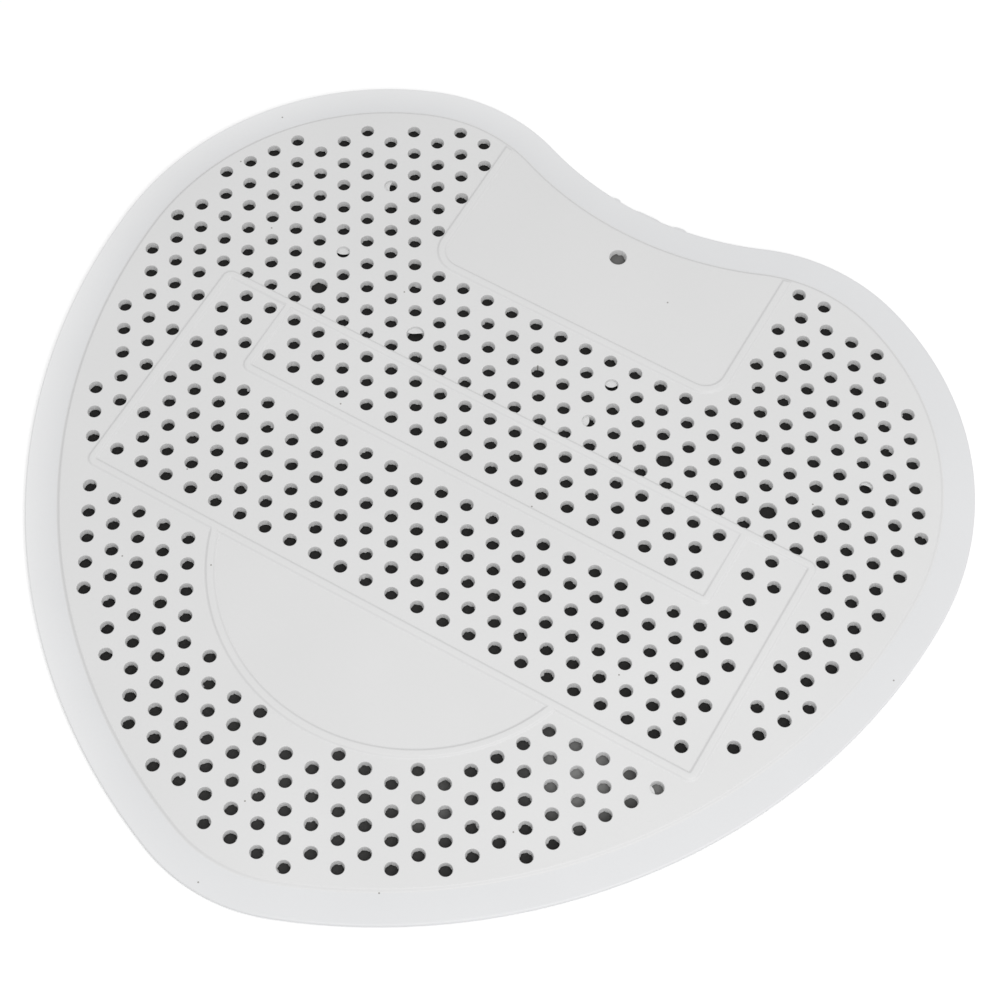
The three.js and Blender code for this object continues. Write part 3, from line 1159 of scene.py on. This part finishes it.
class SCREEN_OT_stage(bpy.types.Operator):
    """Builds the floor, the dark card of painted shade, the lamp and the camera"""

    bl_idname = "screen.stage"
    bl_label = "Stage"

    def execute(self, context):
        scene = context.scene
        look = scene.screen_stage
        self.floor(look)
        self.shade_card(scene, look)
        self.room(scene, look)
        self.key_lamp(scene, look)
        self.camera(scene, look)
        scene.view_settings.view_transform = "Standard"
        return {"FINISHED"}

    def floor(self, look):
        """A pale level floor that keeps the mat's shadow."""
        material, tree, shader = new_material("Pale floor")
        shader.inputs["Base Color"].default_value = (*look.floor, 1.0)
        shader.inputs["Roughness"].default_value = 0.9
        shader.inputs["Emission Color"].default_value = (1.0, 1.0, 1.0, 1.0)
        glow = maths(tree, "MULTIPLY", seen_directly(tree), look.floor_glow)
        feed(tree, shader.inputs["Emission Strength"], glow)
        bm = bmesh.new()
        bmesh.ops.create_grid(bm, x_segments=1, y_segments=1, size=look.floor_reach)
        bmesh.ops.translate(bm, verts=bm.verts[:], vec=(0.0, 0.0, -look.floor_drop))
        item = new_object("floor", bm, [material], closed=False)

    def shade_card(self, scene, look):
        """A dark card of painted shade just under the mat, which shows in its holes."""
        height = -look.floor_drop / 2
        bm = bmesh.new()
        heart_face(bm, scene.screen_heart, look.shade_card_inset, height)
        material = self.shade_card_material(look, height)
        item = new_object("shade_card", bm, [material], closed=False)

    def shade_card_material(self, look, height):
        """Dark card of painted shade, with a few paler patches of painted light."""
        material, tree, shader = new_material("Painted shade card")
        place = tree.nodes.new("ShaderNodeTexCoord").outputs["Object"]
        total = 0.0
        # Patches of painted light on the dark card.
        for x, y, reach, level in PAINTED_LIGHT_PATCHES:
            away = tree.nodes.new("ShaderNodeVectorMath")
            away.operation = "DISTANCE"
            away.inputs[1].default_value = (x * MM, y * MM, height)
            feed(tree, away.inputs[0], place)
            distance = away.outputs["Value"]
            patch = fade(tree, distance, 0.0, reach * MM, level, 0.0, "SMOOTHSTEP")
            total = maths(tree, "ADD", total, patch, clamp=True)
        # Painted shade of the card, with patches of painted light.
        tone = blend(tree, total, (*look.shade_card, 1.0), (*look.painted_sheen, 1.0))
        feed(tree, shader.inputs["Base Color"], tone)
        shader.inputs["Roughness"].default_value = 0.7
        shader.inputs["Specular IOR Level"].default_value = 0.2
        return material

    def room(self, scene, look):
        """Even light from all round, which is seen as plain white."""
        world = bpy.data.worlds.new("Room")
        world.use_nodes = True
        tree = world.node_tree
        background = tree.nodes["Background"]
        background.inputs["Color"].default_value = (1.0, 1.0, 1.0, 1.0)
        strength = fade(tree, seen_directly(tree), 0.0, 1.0, look.world, 1.0)
        feed(tree, background.inputs["Strength"], strength)
        scene.world = world

    def key_lamp(self, scene, look):
        """A soft round lamp on the camera's right, pointed at the mat."""
        lamp = bpy.data.lights.new("key", "AREA")
        lamp.shape = "DISK"
        lamp.size = look.key_size
        lamp.energy = look.key
        holder = bpy.data.objects.new("key", lamp)
        place = Vector((look.key_x, look.key_y, look.key_z))
        turn = place.to_track_quat("Z", "Y").to_matrix().to_4x4()
        holder.matrix_world = Matrix.Translation(place) @ turn
        scene.collection.objects.link(holder)

    def camera(self, scene, look):
        """The photograph's point of view."""
        data = bpy.data.cameras.new("camera")
        data.lens = look.lens
        data.sensor_width = 36.0
        data.clip_start = 0.01
        holder = bpy.data.objects.new("camera", data)
        flat = math.cos(look.elevation)
        back = Vector(
            (
                flat * math.sin(look.azimuth),
                -flat * math.cos(look.azimuth),
                math.sin(look.elevation),
            )
        )
        target = Vector((look.target_x, look.target_y, 0.0))
        turn = back.to_track_quat("Z", "Y").to_matrix().to_4x4()
        holder.matrix_world = (
            Matrix.Translation(target + back * look.distance)
            @ turn
            @ Matrix.Rotation(look.roll, 4, "Z")
        )
        scene.collection.objects.link(holder)
        scene.camera = holder


class SCREEN_PT_panel(bpy.types.Panel):
    """Sizes, looks and the steps that build the mat"""

    bl_idname = "SCREEN_PT_panel"
    bl_label = "Urinal deodorizer screen"
    bl_space_type = "VIEW_3D"
    bl_region_type = "UI"
    bl_category = "Screen"

    def draw(self, context):
        scene = context.scene
        for name in GROUPS:
            box = self.layout.box()
            group = getattr(scene, name)
            for key in group.bl_rna.properties.keys():
                if key not in ("rna_type", "name"):
                    box.prop(group, key)
        for operator in STEPS:
            self.layout.operator(operator.bl_idname)


GROUPS = {
    "screen_heart": HeartSizes,
    "screen_section": SectionSizes,
    "screen_ribs": RibSizes,
    "screen_holes": HoleSizes,
    "screen_flash": FlashSizes,
    "screen_vinyl": VinylLook,
    "screen_stage": StageLook,
}
STEPS = (SCREEN_OT_mat, SCREEN_OT_films, SCREEN_OT_gate_stubs, SCREEN_OT_stage)


def register():
    """Registers the sizes, the operators and the panel."""
    for name, group in GROUPS.items():
        bpy.utils.register_class(group)
        setattr(bpy.types.Scene, name, bpy.props.PointerProperty(type=group))
    for operator in STEPS:
        bpy.utils.register_class(operator)
    bpy.utils.register_class(SCREEN_PT_panel)


def unregister():
    """Takes away what register added."""
    bpy.utils.unregister_class(SCREEN_PT_panel)
    for operator in reversed(STEPS):
        bpy.utils.unregister_class(operator)
    for name, group in reversed(GROUPS.items()):
        delattr(bpy.types.Scene, name)
        bpy.utils.unregister_class(group)


def main():
    """Registers the add-on and builds every piece and the stage."""
    register()
    bpy.ops.screen.mat()
    bpy.ops.screen.films()
    bpy.ops.screen.gate_stubs()
    bpy.ops.screen.stage()


if __name__ == "__main__":
    main()
